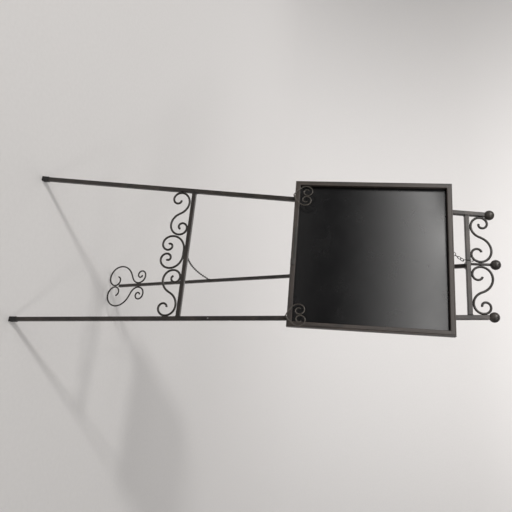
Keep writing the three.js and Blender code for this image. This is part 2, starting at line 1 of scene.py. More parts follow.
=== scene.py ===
"""A folding display easel in scrolled ironwork with a framed writing board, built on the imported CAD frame.

Sizes are in millimetres in the working frames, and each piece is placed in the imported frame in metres:
FRONT is the leaning front frame (X right, Y back, Z up the slope), legs hang in it, and REAR is the rear
leg's own frame with the hinge at its origin and the leg down -Z.
"""

import math

import bmesh
import bpy
from mathutils import Matrix, Vector, noise


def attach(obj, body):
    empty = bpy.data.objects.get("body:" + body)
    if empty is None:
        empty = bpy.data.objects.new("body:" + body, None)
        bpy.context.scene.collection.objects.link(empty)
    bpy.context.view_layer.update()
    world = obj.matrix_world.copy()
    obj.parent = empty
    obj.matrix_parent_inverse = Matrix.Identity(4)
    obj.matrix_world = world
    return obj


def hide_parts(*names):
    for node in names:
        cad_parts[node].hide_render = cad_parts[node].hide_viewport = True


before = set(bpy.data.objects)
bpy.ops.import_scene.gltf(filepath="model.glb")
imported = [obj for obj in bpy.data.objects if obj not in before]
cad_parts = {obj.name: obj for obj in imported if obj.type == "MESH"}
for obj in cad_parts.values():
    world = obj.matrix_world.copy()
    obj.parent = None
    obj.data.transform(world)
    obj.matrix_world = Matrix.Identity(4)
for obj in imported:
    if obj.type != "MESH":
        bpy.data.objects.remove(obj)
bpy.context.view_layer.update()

MM = 0.001
WELD_GAP = 0.3
LEAN = math.radians(8)
BASE_SHIFT_Y = -289.194

# Front frame
LEG = {"tube": 15, "corner": 1.9, "length": 1664, "foot_x": 284, "head_x": 177, "head_z": 1680}
LOWER_BAR_Z = 629.5
UPPER_BAR_Z = 1602.5
FOOT_CAP = {"width": 18.5, "height": 26}
FINIAL = {"ball": 16.85, "neck": 7.5, "middle_z": 1689}
FINIAL_ROD = 4.5
SPARE_HOLE = {"radius": 2.8, "z": 738}
UPPER_WIRE = 4
LOWER_WIRE = 3.9
FOOT_WIRE = 3.5

# Scrolls: reach from the middle of the crossbar or from the floor, and each arm of the curve as
# (heading, straight run, first radius, last radius, degrees turned)
UPPER_SCROLL = {"touch_up": 43, "top_up": 75.5}
UPPER_ARMS = ((247, 1, 47, 8.7, -455), (67, 4, 58, 11.4, -421))
LOWER_SCROLL = {"touch_down": 54, "bottom_down": 76, "inner_x": 68.5}
LOWER_ARMS = ((116, 1, 58, 10, 434), (-64, 1, 56, 8.5, 501))
CENTRE_SCROLL = {"half_width": 61.5, "bottom_down": 93, "weld_x": 9}
CENTRE_ARM = (0, 10, 61, 6.5, -500)
FOOT_SCROLL = {"half_width": 97, "top_up": 221, "weld_above": 90}
FOOT_ARMS = ((26, 2, 50, 8.5, 520), (206, 16, 95, 15, 420))

# Rear leg and spreader chain
REAR_LEG = {"tube": 12.7, "corner": 1.5, "hinge_y": 22, "foot_y": 585, "head": 10, "tube_end": 70}
CHAIN = {"sag": 26, "front_x": -3.5, "front_z": 627, "rear_down": 1028, "split": 0.575}
CHAIN_LINK = {"wire": 1.25, "pitch": 9.4, "width": 7.8}
EYE = {"wire": 1.1, "loop": 4.6}

# Heart hooks
HEART = {"wire": 2, "half_width": 36, "height": 64, "stand_off": 10, "tilt": 0.045, "gap": 0.5}
HEART_ARM = (36, 34, 25, 7.5, 470)
HEART_TIP = 12  # the sides also meet at the tip, below this height
PEG = {"radius": 2.5, "back_end": 8}

# Board
BOARD = {"width": 532, "height": 540, "depth": 24.5, "bottom_z": 1012, "centre_x": -14}
RAIL = {"face": 17.5, "panel_front": 13, "rebate": 8, "round": 1.2, "lip": 2.2, "step": 4.5, "step_back": 2}
PANEL = {"thick": 4, "clearance": 1}
BACKING_THICK = 3
BUTTON = {"length": 22, "width": 10, "thick": 1.5}
EDGE_BLOCK = {"width": 23, "height": 14, "depth": 3, "x": 42, "z": 0}
FRONT_STRIP = {"width": 115, "height": 8, "depth": 1, "x": -28, "z": 8.5}

# Hanging chain
HANG = {"wire": 1.1, "links": 3, "width": 10.4, "fuse": 0.15, "ring": 6.9, "pin": 1.4, "pin_length": 4.5}
HANG_TOP = Vector((-9.7, -2.3, 1588.4))
HANG_RING = Vector((-31, -5.2, 1556))
HANG_HOOK = {"x": -11, "clearance": 0.2, "rise": 9, "drop": 9.3, "bend": 6}

# Scene, in metres and radians
CAMERA = {"place": (0.5676, -1.8376, 1.4042), "yaw": 0.3259, "pitch": -0.2905, "roll": -0.0042}
LENS = {"focal": 36.447, "sensor": 36, "far": 60}
BACKDROP = {"front": -7, "back": 5.5, "curve": 2.2, "top": 7, "half_width": 9}
GLOW_CARD = {"y": -4.6, "bottom": 0.7, "top": 4.6, "left": -7.8, "right": 1.7}
GLOW_FADE = {"from": 0.8, "to": 4.4, "strength": 2.2, "power": 2.3}

leg_slope = math.atan2(LEG["foot_x"] - LEG["head_x"], LEG["head_z"])
MILLIMETRES = Matrix.Scale(MM, 4)
FRONT = MILLIMETRES @ Matrix.Translation((0, BASE_SHIFT_Y, 0)) @ Matrix.Rotation(-LEAN, 4, "X")
hinge = Matrix.Rotation(-LEAN, 4, "X") @ Vector((0, REAR_LEG["hinge_y"], UPPER_BAR_Z))
rear_slope = math.atan2(REAR_LEG["foot_y"] - hinge.y, hinge.z)
rear_length = hinge.z / math.cos(rear_slope)
REAR = (
    MILLIMETRES
    @ Matrix.Translation((0, BASE_SHIFT_Y, 0))
    @ Matrix.Translation(hinge)
    @ Matrix.Rotation(rear_slope, 4, "X")
)


def leg_frame(side):
    turn = Matrix.Rotation(-side * leg_slope, 4, "Y")
    return FRONT @ Matrix.Translation((side * LEG["foot_x"], 0, 0)) @ turn


def leg_x(z):
    return LEG["foot_x"] - (LEG["foot_x"] - LEG["head_x"]) * z / LEG["head_z"]


def leg_inner_x(z):
    return leg_x(z) - LEG["tube"] / 2 / math.cos(leg_slope)


# ---- Meshes ----


def make_object(name, points, faces, place):
    """A mesh object from points in a working frame, with its place in its vertices."""
    mesh = bpy.data.meshes.new(name)
    mesh.from_pydata([place @ Vector(point) for point in points], [], faces)
    mesh.update()
    builder = bmesh.new()
    builder.from_mesh(mesh)
    bmesh.ops.recalc_face_normals(builder, faces=builder.faces)
    builder.to_mesh(mesh)
    builder.free()
    for polygon in mesh.polygons:
        polygon.use_smooth = True
    made = bpy.data.objects.new(name, mesh)
    bpy.context.scene.collection.objects.link(made)
    return made


def sharpen(made, angle=38):
    made.data.set_sharp_from_angle(angle=math.radians(angle))
    return made


def loft(rings, closed=False, caps=True):
    """Points and faces of a skin over rings that all have the same number of points."""
    count = len(rings[0])
    points = [point for ring in rings for point in ring]
    faces = []
    spans = len(rings) if closed else len(rings) - 1
    for i in range(spans):
        start = i * count
        following = ((i + 1) % len(rings)) * count
        for j in range(count):
            k = (j + 1) % count
            faces.append((start + j, start + k, following + k, following + j))
    if caps and not closed:
        faces.append(tuple(reversed(range(count))))
        faces.append(tuple(range(len(points) - count, len(points))))
    return points, faces


def joined(parts):
    """Several (points, faces) skins as one."""
    points = []
    faces = []
    for part_points, part_faces in parts:
        start = len(points)
        points += part_points
        faces += [tuple(start + index for index in face) for face in part_faces]
    return points, faces


def tangents(points, closed):
    count = len(points)
    found = []
    for i in range(count):
        before = points[i - 1] if closed or i > 0 else points[i]
        after = points[(i + 1) % count] if closed or i < count - 1 else points[i]
        found.append((after - before).normalized())
    return found


def bar(points, radius, sides=14, closed=False, lumps=0.0):
    """A round bar along points, with rounded ends unless it is closed."""
    along = tangents(points, closed)
    side = along[0].orthogonal().normalized()
    rings = []
    for i, (centre, tangent) in enumerate(zip(points, along)):
        side = (side - tangent * side.dot(tangent)).normalized()
        other = tangent.cross(side)
        size = radius * (1 + lumps * noise.noise(centre * 0.35))

        def ring(middle, scale):
            turned = [2 * math.pi * j / sides for j in range(sides)]
            return [middle + (side * math.cos(a) + other * math.sin(a)) * scale for a in turned]

        at_start = i == 0 and not closed
        at_end = i == len(points) - 1 and not closed
        dome = [(math.sin(a), math.cos(a)) for a in (1.35, 0.95, 0.5)]
        if at_start:
            rings += [ring(centre + tangent * size * (1 - out), size * back) for out, back in dome]
        inset = tangent * size if at_start else -tangent * size if at_end else Vector((0, 0, 0))
        rings.append(ring(centre + inset, size))
        if at_end:
            rings += [ring(centre - tangent * size * (1 - out), size * back) for out, back in reversed(dome)]
    return loft(rings, closed)


def smooth_path(points, pieces=3):
    """A Catmull-Rom curve through the points."""
    ends = [points[0] * 2 - points[1], *points, points[-1] * 2 - points[-2]]
    path = []
    for a, b, c, d in zip(ends, ends[1:], ends[2:], ends[3:]):
        for step in range(pieces):
            t = step / pieces
            linear = (c - a) * t
            square = (a * 2 - b * 5 + c * 4 - d) * t**2
            cube = (b * 3 - a - c * 3 + d) * t**3
            path.append((b * 2 + linear + square + cube) / 2)
    path.append(points[-1])
    return path


def lathe(profile, sides=40):
    """A turned piece about Z from (radius, z) pairs; the ends close on the axis."""
    rings = []
    for radius, z in profile:
        turned = [2 * math.pi * j / sides for j in range(sides)]
        rings.append([Vector((radius * math.cos(a), radius * math.sin(a), z)) for a in turned])
    return loft(rings)


def moved(part, matrix):
    points, faces = part
    return [matrix @ Vector(point) for point in points], faces


def square_ring(half, corner, steps=5):
    """A square with rounded corners, with a point on each flat close to the corner to keep the flat flat."""
    near = 0.5
    ring = []
    for quarter in range(4):
        turn = Matrix.Rotation(quarter * math.pi / 2, 2)
        ring.append(turn @ Vector((half, half - corner - near)))
        for step in range(steps + 1):
            angle = step * math.pi / 2 / steps
            x = half - corner + corner * math.cos(angle)
            y = half - corner + corner * math.sin(angle)
            ring.append(turn @ Vector((x, y)))
        ring.append(turn @ Vector((half - corner - near, half)))
    return ring


def square_bar(half, corner, levels):
    """A square bar along Z through (z, how much smaller) levels."""
    rings = []
    for z, smaller in levels:
        flat = square_ring(half - smaller, max(corner - smaller, 0.3))
        rings.append([Vector((point.x, point.y, z)) for point in flat])
    return loft(rings)


def rounded_block(size, centre, edge=0.7, steps=3):
    """A block with rounded edges, as points and faces."""
    builder = bmesh.new()
    bmesh.ops.create_cube(builder, size=1)
    bmesh.ops.scale(builder, vec=Vector(size), verts=builder.verts)
    bmesh.ops.bevel(
        builder, geom=list(builder.edges), offset=edge, segments=steps, profile=0.5, affect="EDGES"
    )
    bmesh.ops.translate(builder, vec=Vector(centre), verts=builder.verts)
    builder.verts.index_update()
    points = [vertex.co.copy() for vertex in builder.verts]
    faces = [tuple(vertex.index for vertex in face.verts) for face in builder.faces]
    builder.free()
    return points, faces


def weld_blob(centre, size, stretch=(1, 1, 1)):
    """A lump of weld metal: a squashed ball with an uneven skin."""
    builder = bmesh.new()
    bmesh.ops.create_icosphere(builder, subdivisions=3, radius=1)
    for vertex in builder.verts:
        uneven = 1 + 0.22 * noise.noise(vertex.co * 2.1 + Vector(centre) * 0.13)
        offset = Vector([c * s for c, s in zip(vertex.co, stretch)]) * size * uneven
        vertex.co = Vector(centre) + offset
    builder.verts.index_update()
    points = [vertex.co.copy() for vertex in builder.verts]
    faces = [tuple(vertex.index for vertex in face.verts) for face in builder.faces]
    builder.free()
    return points, faces


def finish_piece(made, body, slot, material, *nodes):
    made.data.materials.clear()
    made.data.materials.append(material)
    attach(made, body)
    if nodes:
        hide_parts(*nodes)
    return made


# ---- Materials ----


class Shader:
    """A Principled material with short ways to add procedural nodes to it."""

    def __init__(self, name, metallic=0.0, specular=0.5, coat=0.0, coat_roughness=0.2):
        self.material = bpy.data.materials.new(name)
        self.material.use_nodes = True
        self.nodes = self.material.node_tree.nodes
        self.links = self.material.node_tree.links
        self.main = self.nodes["Principled BSDF"]
        self.main.inputs["Metallic"].default_value = metallic
        self.main.inputs["Specular IOR Level"].default_value = specular
        self.main.inputs["Coat Weight"].default_value = coat
        self.main.inputs["Coat Roughness"].default_value = coat_roughness

    def coordinates(self, stretch=(1, 1, 1)):
        place = self.nodes.new("ShaderNodeTexCoord")
        mapping = self.nodes.new("ShaderNodeMapping")
        mapping.inputs["Scale"].default_value = stretch
        self.links.new(place.outputs["Object"], mapping.inputs["Vector"])
        return mapping.outputs["Vector"]

    def noise(self, scale, detail=4, roughness=0.55, stretch=(1, 1, 1), distortion=0.0):
        texture = self.nodes.new("ShaderNodeTexNoise")
        texture.inputs["Scale"].default_value = scale
        texture.inputs["Detail"].default_value = detail
        texture.inputs["Roughness"].default_value = roughness
        texture.inputs["Distortion"].default_value = distortion
        self.links.new(self.coordinates(stretch), texture.inputs["Vector"])
        return texture.outputs["Fac"]

    def ramp(self, factor, *stops):
        node = self.nodes.new("ShaderNodeValToRGB")
        elements = node.color_ramp.elements
        while len(elements) < len(stops):
            elements.new(0.5)
        for element, (position, colour) in zip(elements, stops):
            element.position = position
            element.color = (*colour, 1)
        self.links.new(factor, node.inputs["Fac"])
        return node.outputs["Color"]

    def span(self, factor, low, high):
        node = self.nodes.new("ShaderNodeMapRange")
        node.inputs["From Min"].default_value = 0.25
        node.inputs["From Max"].default_value = 0.75
        node.inputs["To Min"].default_value = low
        node.inputs["To Max"].default_value = high
        self.links.new(factor, node.inputs["Value"])
        return node.outputs["Result"]

    def mix(self, factor, first, second):
        node = self.nodes.new("ShaderNodeMix")
        node.data_type = "RGBA"
        self.links.new(factor, node.inputs[0])
        self.links.new(first, node.inputs[6])
        self.links.new(second, node.inputs[7])
        return node.outputs[2]

    def colour(self, output):
        self.links.new(output, self.main.inputs["Base Color"])

    def roughness(self, output):
        self.links.new(output, self.main.inputs["Roughness"])

    def bump(self, *layers):
        """Layers of (height, distance in metres), one on top of the other."""
        normal = None
        for height, distance in layers:
            node = self.nodes.new("ShaderNodeBump")
            node.inputs["Distance"].default_value = distance
            node.inputs["Strength"].default_value = 0.6
            self.links.new(height, node.inputs["Height"])
            if normal:
                self.links.new(normal, node.inputs["Normal"])
            normal = node.outputs["Normal"]
        self.links.new(normal, self.main.inputs["Normal"])


def painted_iron(name, dark, light, rough):
    """Bronze-black powder coat: faint mottling, a fine orange-peel skin and slightly uneven gloss."""
    shader = Shader(name, metallic=0.25, specular=0.55, coat=0.12, coat_roughness=0.25)
    mottle = shader.ramp(shader.noise(24, 6, 0.65, distortion=0.4), (0.38, dark), (0.62, light))
    speck = shader.ramp(shader.noise(900, 2), (0.45, dark), (0.8, light))
    shader.colour(shader.mix(shader.noise(140, 3), mottle, speck))
    shader.roughness(shader.span(shader.noise(60, 4), rough - 0.06, rough + 0.08))
    shader.bump((shader.noise(520, 3), 0.00012), (shader.noise(90, 2), 0.0001))
    return shader.material


def stained_wood(name, along, dark, light):
    """Dark stained wood with grain along one axis, open pores and a satin varnish."""
    shader = Shader(name, specular=0.5, coat=0.25, coat_roughness=0.3)
    fine = [420.0, 420.0, 420.0]
    fine[along] = 9.0
    broad = [55.0, 55.0, 55.0]
    broad[along] = 2.2
    grain = shader.noise(1, 5, 0.6, fine, 0.2)
    bands = shader.noise(1, 3, 0.5, broad, 0.8)
    streaks = shader.ramp(grain, (0.35, dark), (0.68, light))
    tone = shader.ramp(bands, (0.3, light), (0.7, dark))
    shader.colour(shader.mix(bands, streaks, tone))
    shader.roughness(shader.span(grain, 0.42, 0.58))
    shader.bump((grain, 0.00018))
    return shader.material


def gloss_panel(name):
    """A gloss black sheet with faint wipe marks and a slightly uneven gloss."""
    shader = Shader(name, specular=0.45, coat=0.3, coat_roughness=0.14)
    wipes = shader.noise(4, 4, 0.6, (3, 1, 0.8), 1.2)
    shader.colour(shader.ramp(wipes, (0.3, (0.0035, 0.0035, 0.004)), (0.8, (0.0055, 0.0055, 0.006))))
    shader.roughness(shader.span(shader.noise(14, 6, 0.65, distortion=0.6), 0.2, 0.3))
    shader.bump((shader.noise(7, 2), 0.0002))
    return shader.material


def fibreboard(name):
    """Plain brown hardboard: a felted surface with darker fibres."""
    shader = Shader(name, specular=0.25)
    fibres = shader.noise(420, 5, 0.7, (1, 1, 0.5), 1.5)
    base = shader.ramp(fibres, (0.3, (0.085, 0.052, 0.03)), (0.7, (0.17, 0.11, 0.066)))
    cloud = shader.ramp(shader.noise(9, 3), (0.3, (0.1, 0.063, 0.037)), (0.7, (0.15, 0.098, 0.06)))
    shader.colour(shader.mix(shader.noise(30, 3), base, cloud))
    shader.roughness(shader.span(fibres, 0.7, 0.88))
    shader.bump((fibres, 0.00012))
    return shader.material


def plated_steel(name):
    """Zinc-plated steel with a fine drawn grain."""
    shader = Shader(name, metallic=0.95)
    drawn = shader.noise(700, 4, 0.6, (1, 1, 0.06))
    shader.colour(shader.ramp(drawn, (0.3, (0.24, 0.235, 0.23)), (0.75, (0.42, 0.41, 0.4))))
    shader.roughness(shader.span(shader.noise(120, 3), 0.28, 0.44))
    shader.bump((drawn, 0.00003))
    return shader.material


def moulded_plastic(name):
    """Black moulded plastic with a fine spark-eroded texture."""
    shader = Shader(name, specular=0.4)
    grain = shader.noise(1500, 2)
    shader.colour(shader.ramp(grain, (0.3, (0.009, 0.0088, 0.0085)), (0.75, (0.02, 0.0195, 0.019))))
    shader.roughness(shader.span(shader.noise(200, 3), 0.52, 0.68))
    shader.bump((grain, 0.00005))
    return shader.material


def floor_paper(name):
    shader = Shader(name, specular=0.15)
    fibres = shader.noise(60, 3)
    shader.colour(shader.ramp(fibres, (0.3, (0.70, 0.685, 0.675)), (0.7, (0.72, 0.705, 0.695))))
    shader.roughness(shader.span(fibres, 0.85, 0.95))
    return shader.material


IRON = painted_iron("iron_coat", (0.015, 0.0135, 0.0125), (0.056, 0.044, 0.036), 0.34)
WIRE = painted_iron("wire_coat", (0.014, 0.012, 0.0095), (0.036, 0.030, 0.024), 0.36)
# The heart wire paint is a lighter copy of the wire paint: a painted highlight for the shine the heart wires
# catch.
HEART_WIRE_PAINTED_HIGHLIGHT = painted_iron("heart_wire_painted_highlight", (0.045, 0.039, 0.032), (0.12, 0.106, 0.09), 0.3)
FINIAL_COAT = painted_iron("finial_coat", (0.028, 0.025, 0.022), (0.095, 0.082, 0.07), 0.38)
STRIP = painted_iron("strip_coat", (0.030, 0.031, 0.027), (0.058, 0.058, 0.052), 0.5)
WOOD_ACROSS = stained_wood("wood_grain_across", 0, (0.008, 0.0055, 0.004), (0.062, 0.045, 0.035))
WOOD_UP = stained_wood("wood_grain_up", 2, (0.008, 0.0055, 0.004), (0.062, 0.045, 0.035))
WOOD_BLOCK = stained_wood("wood_block", 0, (0.013, 0.011, 0.0095), (0.035, 0.03, 0.025))
PANEL_GLOSS = gloss_panel("panel_gloss")
HARDBOARD = fibreboard("backing_hardboard")
STEEL = plated_steel("plated_steel")
PLASTIC = moulded_plastic("moulded_plastic")


# ---- Scroll curves ----


def spiral_arm(heading, straight, start, end, turn, steps=40):
    """A short straight, then a spiral whose radius shrinks steadily with the angle turned."""
    points = [Vector((0, 0))]
    direction = math.radians(heading)
    step = math.radians(turn) / steps
    at = Vector((math.cos(direction), math.sin(direction))) * straight
    if straight > 0:
        points.append(at)
    for i in range(steps):
        radius = start * (end / start) ** ((i + 0.5) / steps)
        chord = 2 * radius * math.sin(abs(step) / 2)
        along = direction + step / 2
        at = at + Vector((math.cos(along), math.sin(along))) * chord
        points.append(at)
        direction += step
    return points


def fitted(points, left, right, bottom, top):
    low = Vector((min(p.x for p in points), min(p.y for p in points)))
    high = Vector((max(p.x for p in points), max(p.y for p in points)))
    size = high - low
    across = (right - left) / size.x
    up = (top - bottom) / size.y
    return [Vector((left + (p.x - low.x) * across, bottom + (p.y - low.y) * up)) for p in points]


def upright(points, side=1):
    return [Vector((side * p.x, 0, p.y)) for p in points]


def s_curve(first, second, space, side):
    """An S for the left side, turned over for the right."""
    start = spiral_arm(*first)
    end = spiral_arm(*second)[1:]
    return upright(fitted([*reversed(start), *end], *space), -side)


def c_curve(arm, space):
    right = spiral_arm(*arm)
    left = [Vector((-p.x, p.y)) for p in right[1:]]
    return upright(fitted([*reversed(left), *right], *space))


def upper_curve(side):
    touch = UPPER_BAR_Z + UPPER_SCROLL["touch_up"]
    space = (
        -(leg_inner_x(touch) - WELD_GAP - UPPER_WIRE / math.cos(leg_slope)),
        -(FINIAL_ROD + WELD_GAP + UPPER_WIRE),
        UPPER_BAR_Z + LEG["tube"] / 2 + WELD_GAP + UPPER_WIRE,
        UPPER_BAR_Z + UPPER_SCROLL["top_up"],
    )
    return s_curve(*UPPER_ARMS, space, side)


def lower_curve(side):
    touch = LOWER_BAR_Z - LOWER_SCROLL["touch_down"]
    space = (
        -(leg_inner_x(touch) - WELD_GAP - LOWER_WIRE / math.cos(leg_slope)),
        -LOWER_SCROLL["inner_x"],
        LOWER_BAR_Z - LOWER_SCROLL["bottom_down"],
        LOWER_BAR_Z - LEG["tube"] / 2 - WELD_GAP - LOWER_WIRE,
    )
    return s_curve(*LOWER_ARMS, space, side)


def centre_curve():
    top = LOWER_BAR_Z - LEG["tube"] / 2 - WELD_GAP - LOWER_WIRE
    half = CENTRE_SCROLL["half_width"]
    bottom = LOWER_BAR_Z - CENTRE_SCROLL["bottom_down"]
    return c_curve(CENTRE_ARM, (-half, half, bottom, top))


def foot_curve(side):
    bottom = FOOT_WIRE / math.cos(rear_slope) - rear_length
    top = FOOT_SCROLL["top_up"] - rear_length
    space = (-FOOT_SCROLL["half_width"], -(FOOT_WIRE + WELD_GAP / 2), bottom, top)
    return s_curve(*FOOT_ARMS, space, side)


def heart_curve():
    """The whole heart wire, from the curl inside one lobe round the tip to the other curl."""
    points = spiral_arm(*HEART_ARM)
    innermost = HEART["wire"] + HEART["gap"] / 2
    low_x = min(p.x for p in points[2:])
    high_x = max(p.x for p in points[2:])
    lift = HEART["height"] / max(p.y for p in points[2:])
    half = []
    for index, point in enumerate(points):
        share = min(1, index / 6)
        inner = innermost * share
        across = (point.x - low_x * share) / (high_x - low_x * share)
        half.append(Vector((inner + across * (HEART["half_width"] - inner), point.y * lift)))
    left = [Vector((-p.x, p.y)) for p in half[1:]]
    return upright([*reversed(left), *half])


# ---- Front frame ----


def leg(side, name):
    half = LEG["tube"] / 2
    levels = [(6, 0), (60, 0), (LEG["length"] - 60, 0), (LEG["length"] - 0.5, 0), (LEG["length"], 0.5)]
    points, faces = square_bar(half, LEG["corner"], levels)
    made = make_object(name + "_leg", points, faces, leg_frame(side))
    drill = lathe([(SPARE_HOLE["radius"], -half - 2), (SPARE_HOLE["radius"], half + 2)], 24)
    place = leg_frame(side) @ Matrix.Translation((0, 0, SPARE_HOLE["z"] / math.cos(leg_slope)))
    cutter = make_object("drill", *drill, place @ Matrix.Rotation(math.pi / 2, 4, "X"))
    cut_away(made, cutter)
    return finish_piece(sharpen(made), "frame", "iron", IRON, name + "_leg_tube")


def cut_away(made, cutter):
    """Takes the cutter out of the piece and removes the cutter."""
    modifier = made.modifiers.new("cut", "BOOLEAN")
    modifier.operation = "DIFFERENCE"
    modifier.object = cutter
    result = bpy.data.meshes.new_from_object(made.evaluated_get(bpy.context.evaluated_depsgraph_get()))
    made.modifiers.clear()
    made.data = result
    bpy.data.objects.remove(cutter)


def foot_cap(side, name):
    """A moulded cap with a rolled rim; its sole is level with the floor."""
    half = FOOT_CAP["width"] / 2
    place = leg_frame(side)
    top = FOOT_CAP["height"]
    rings = []
    for lift, smaller in ((0, 0.9), (0.25, 0.25), (0.9, 0)):
        flat = square_ring(half - smaller, 2.6)
        rings.append([sole_point(place, point, lift) for point in flat])
    levels = [(9, 0.15), (top - 5, 0.5), (top - 4, 0.1), (top - 1.2, 0), (top - 0.3, 0.3), (top, 0.9)]
    for z, smaller in levels:
        flat = square_ring(half - smaller, 2.6)
        rings.append([Vector((point.x, point.y, z)) for point in flat])
    points, faces = loft(rings)
    made = make_object(name + "_foot_cap_moulded", points, faces, place)
    return finish_piece(made, "frame", "cap", PLASTIC, name + "_foot_cap")


def sole_point(place, point, lift):
    """The point of the leg's frame straight along the leg from (x, y) that is this high above the floor."""
    start = place @ Vector((point.x, point.y, 0))
    rise = (place @ Vector((point.x, point.y, 1))) - start
    return Vector((point.x, point.y, (lift * MM - start.z) / rise.z))


def ball_profile(with_neck):
    ball = FINIAL["ball"]
    neck = FINIAL["neck"]
    neck_angle = math.asin(neck / ball)
    profile = []
    if with_neck:
        profile += [(4, 0.9 - ball), (neck - 0.3, 0.9 - ball)]
        profile += [(neck + 0.5, 1.3 - ball), (neck + 0.5, 2 - ball)]
    else:
        profile += [(0.2, 1.3 - ball), (4.9, 1.3 - ball)]
    start = neck_angle if with_neck else math.acos((ball - 1.3) / ball)
    steps = 30
    for i in range(steps + 1):
        angle = start + (math.pi - 0.02 - start) * i / steps
        profile.append((ball * math.sin(angle), -ball * math.cos(angle)))
    return profile


def finials():
    for side, name in ((-1, "left"), (1, "right")):
        place = leg_frame(side) @ Matrix.Translation((0, 0, LEG["head_z"]))
        made = make_object(name + "_finial", *lathe(ball_profile(True), 48), place)
        finish_piece(made, "frame", "iron", FINIAL_COAT, name + "_finial_ball")
    place = FRONT @ Matrix.Translation((0, 0, FINIAL["middle_z"]))
    made = make_object("centre_finial", *lathe(ball_profile(False), 48), place)
    finish_piece(made, "frame", "iron", FINIAL_COAT, "centre_finial_ball")
    bottom = UPPER_BAR_Z + LEG["tube"] / 2
    top = FINIAL["middle_z"] - FINIAL["ball"] + 1.1
    rod = FINIAL_ROD
    profile = [(rod + 2.2, bottom), (rod + 1.6, bottom + 0.9), (rod + 0.5, bottom + 2.2)]
    profile += [(rod, bottom + 3.4), (rod, bottom + 8), (rod, top - 6)]
    profile += [(rod, top - 1.6), (rod + 0.8, top - 0.6), (rod + 1, top)]
    made = make_object("centre_rod", *lathe(profile, 28), FRONT)
    finish_piece(made, "frame", "wire", WIRE, "centre_finial_rod")


def crossbar(name, z, node):
    """A square tube between the legs, its ends shaped to their slope."""
    half = LEG["tube"] / 2
    rings = []
    for share in (-1, -0.9, 0.9, 1):
        ring = []
        for point in square_ring(half, LEG["corner"]):
            end = leg_inner_x(z + point.y) - 0.05
            ring.append(Vector((share * end, point.x, z + point.y)))
        rings.append(ring)
    made = make_object(name, *loft(rings), FRONT)
    return finish_piece(sharpen(made), "frame", "iron", IRON, node)


def bar_end_bead(z, side):
    """The line of weld round the end of a crossbar."""
    half = LEG["tube"] / 2
    path = []
    for point in square_ring(half + 0.5, LEG["corner"] + 0.5, 4):
        path.append(Vector((side * (leg_inner_x(z + point.y) - 0.7), point.x, z + point.y)))
    dense = []
    for start, end in zip(path, path[1:] + path[:1]):
        count = max(1, round((end - start).length / 1.5))
        dense += [start.lerp(end, i / count) for i in range(count)]
    return bar(dense, 1.15, 8, closed=True, lumps=0.5)


def frame_welds():
    """All the weld beads on the front frame as one piece."""
    parts = []
    for z in (LOWER_BAR_Z, UPPER_BAR_Z):
        parts += [bar_end_bead(z, -1), bar_end_bead(z, 1)]
    for side in (-1, 1):
        parts += touch_welds(upper_curve(side), UPPER_WIRE, side, UPPER_BAR_Z, 1)
        parts += touch_welds(lower_curve(side), LOWER_WIRE, side, LOWER_BAR_Z, -1)
    top = LOWER_BAR_Z - LEG["tube"] / 2
    for x in (-CENTRE_SCROLL["weld_x"], CENTRE_SCROLL["weld_x"]):
        parts.append(weld_blob((x, 0, top - 0.6), 2.2, (1.6, 1.1, 0.7)))
    made = make_object("frame_weld_beads", *joined(parts), FRONT)
    return finish_piece(made, "frame", "iron", IRON)


def touch_welds(curve, wire, side, bar_z, up):
    """Beads where a scroll touches the leg, the crossbar and whatever stands in the middle."""
    outermost = max(curve, key=lambda point: side * point.x)
    nearest_bar = min(curve, key=lambda point: up * point.z)
    innermost = min(curve, key=lambda point: side * point.x)
    bar_face = bar_z + up * LEG["tube"] / 2
    welds = [
        weld_blob((outermost.x + side * wire, 0, outermost.z), 2.1, (0.8, 1.2, 1.9)),
        weld_blob((nearest_bar.x, 0, bar_face + up * 0.6), 2.3, (1.9, 1.2, 0.8)),
    ]
    if up > 0:
        welds.append(weld_blob((innermost.x - side * wire, 0, innermost.z), 2.0, (0.8, 1.1, 1.8)))
    return welds


def scroll(name, curve, radius, body, place, node):
    made = make_object(name, *bar(smooth_path(curve, 2), radius, 16), place)
    return finish_piece(made, body, "wire", WIRE, node)


def scrolls():
    for side, name in ((-1, "left"), (1, "right")):
        upper = "upper_" + name
        scroll(upper + "_curl", upper_curve(side), UPPER_WIRE, "frame", FRONT, upper + "_scroll")
        lower = "lower_" + name
        scroll(lower + "_curl", lower_curve(side), LOWER_WIRE, "frame", FRONT, lower + "_scroll")
        foot = "rear_foot_" + name
        scroll(foot + "_curl", foot_curve(side), FOOT_WIRE, "rear_leg", REAR, foot + "_scroll")
    scroll("lower_centre_curl", centre_curve(), LOWER_WIRE, "frame", FRONT, "lower_centre_scroll")


def chain_eye(name, place, body, node):
    loop = EYE["loop"]
    steps = 24
    angles = [math.pi * i / steps for i in range(steps + 1)]
    path = [Vector((loop * math.cos(angle), loop * math.sin(angle), 0)) for angle in angles]
    parts = [bar(path, EYE["wire"], 12)]
    for side in (-1, 1):
        parts.append(weld_blob((side * loop, 0.2, 0), 1.5, (1, 0.7, 1)))
    made = make_object(name, *joined(parts), place)
    return finish_piece(made, body, "wire", WIRE, node)


# ---- Rear leg ----


